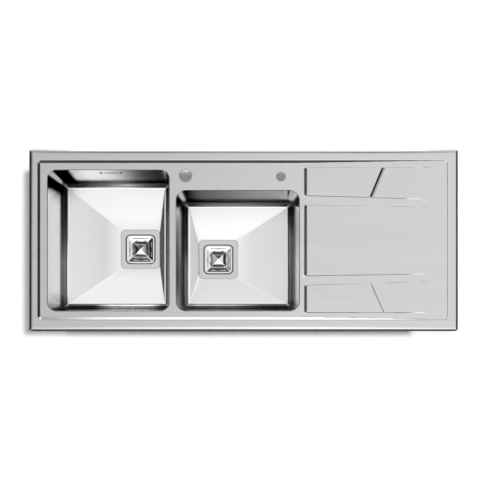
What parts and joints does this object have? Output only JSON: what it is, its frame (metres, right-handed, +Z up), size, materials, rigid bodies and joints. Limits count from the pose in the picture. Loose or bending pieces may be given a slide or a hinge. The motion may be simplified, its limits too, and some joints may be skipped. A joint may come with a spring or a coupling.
{
  "type": "inset kitchen sink",
  "caption": "Pressed steel inset sink with two bowls, a panelled drainer on the right, square basket wastes, an overflow and swing-out worktop clips.",
  "frame": {"origin": "centre of the rim's outer rectangle, level with the top of the worktop that the rim rests on", "axes": "+X to the right along the length, towards the drainer; +Y to the back, towards the tap ledge; +Z up"},
  "size_m": [1.18, 0.5, 0.2812],
  "materials": {
    "sink_steel": "satin stainless steel with fine brushing along the length",
    "waste_steel": "polished stainless steel",
    "basket_chrome": "mirror polished",
    "zinc_plate": "bright zinc plated",
    "seal_rubber": "extruded rubber strip",
    "bitumen": "matt bitumen sheet",
    "black_rubber": "matt moulded rubber",
    "white_plastic": "moulded polypropylene",
    "brass": "turned brass"
  },
  "bodies": {
    "sink": {"deck": "sink_steel", "bowl_left": "sink_steel", "bowl_right": "sink_steel", "tap_ledge_plate": "zinc_plate", "rim_seal": "seal_rubber", "sound_deadener_left": "bitumen", "sound_deadener_right": "bitumen", "sound_deadener_drainer": "bitumen", "drainer_braces": "zinc_plate", "earth_tag": "zinc_plate", "earth_screw": "brass", "clip_brackets": "zinc_plate", "clip_nuts": "zinc_plate", "clip_screws": "zinc_plate", "waste_flange_left": "waste_steel", "waste_gasket_left": "black_rubber", "waste_seal_left": "black_rubber", "waste_body_left": "white_plastic", "waste_screw_left": "waste_steel", "waste_flange_right": "waste_steel", "waste_gasket_right": "black_rubber", "waste_seal_right": "black_rubber", "waste_body_right": "white_plastic", "waste_screw_right": "waste_steel", "overflow_gasket": "black_rubber", "overflow_housing": "white_plastic", "overflow_screws": "waste_steel", "overflow_pipe": "white_plastic", "overflow_nuts": "white_plastic", "port_cap_right": "white_plastic"},
    "strainer_left": {"basket_left": "basket_chrome", "basket_knob_left": "basket_chrome", "basket_seal_left": "black_rubber"},
    "strainer_right": {"basket_right": "basket_chrome", "basket_knob_right": "basket_chrome", "basket_seal_right": "black_rubber"},
    "claw_1": {"clip_claw_1": "zinc_plate"},
    "claw_2": {"clip_claw_2": "zinc_plate"},
    "claw_3": {"clip_claw_3": "zinc_plate"},
    "claw_4": {"clip_claw_4": "zinc_plate"},
    "claw_5": {"clip_claw_5": "zinc_plate"},
    "claw_6": {"clip_claw_6": "zinc_plate"},
    "claw_7": {"clip_claw_7": "zinc_plate"},
    "claw_8": {"clip_claw_8": "zinc_plate"}
  },
  "joints": [
    {"name": "strainer_left_lift", "type": "slide", "parent": "sink", "child": "strainer_left", "axis": [0, 0, 1], "range_m": [0, 0.05]},
    {"name": "strainer_right_lift", "type": "slide", "parent": "sink", "child": "strainer_right", "axis": [0, 0, 1], "range_m": [0, 0.05]},
    {"name": "claw_1_swing", "type": "hinge", "parent": "sink", "child": "claw_1", "pos_m": [-0.47, 0.217, -0.035], "axis": [0, 0, 1], "range_deg": [0, 90]},
    {"name": "claw_2_swing", "type": "hinge", "parent": "sink", "child": "claw_2", "pos_m": [0.01, 0.217, -0.035], "axis": [0, 0, 1], "range_deg": [0, 90]},
    {"name": "claw_3_swing", "type": "hinge", "parent": "sink", "child": "claw_3", "pos_m": [0.45, 0.217, -0.035], "axis": [0, 0, 1], "range_deg": [0, 90]},
    {"name": "claw_4_swing", "type": "hinge", "parent": "sink", "child": "claw_4", "pos_m": [-0.47, -0.215, -0.035], "axis": [0, 0, 1], "range_deg": [0, 90]},
    {"name": "claw_5_swing", "type": "hinge", "parent": "sink", "child": "claw_5", "pos_m": [0.01, -0.215, -0.035], "axis": [0, 0, 1], "range_deg": [0, 90]},
    {"name": "claw_6_swing", "type": "hinge", "parent": "sink", "child": "claw_6", "pos_m": [0.45, -0.215, -0.035], "axis": [0, 0, 1], "range_deg": [0, 90]},
    {"name": "claw_7_swing", "type": "hinge", "parent": "sink", "child": "claw_7", "pos_m": [-0.564, 0, -0.035], "axis": [0, 0, 1], "range_deg": [0, 90]},
    {"name": "claw_8_swing", "type": "hinge", "parent": "sink", "child": "claw_8", "pos_m": [0.558, 0, -0.035], "axis": [0, 0, 1], "range_deg": [0, 90]}
  ]
}
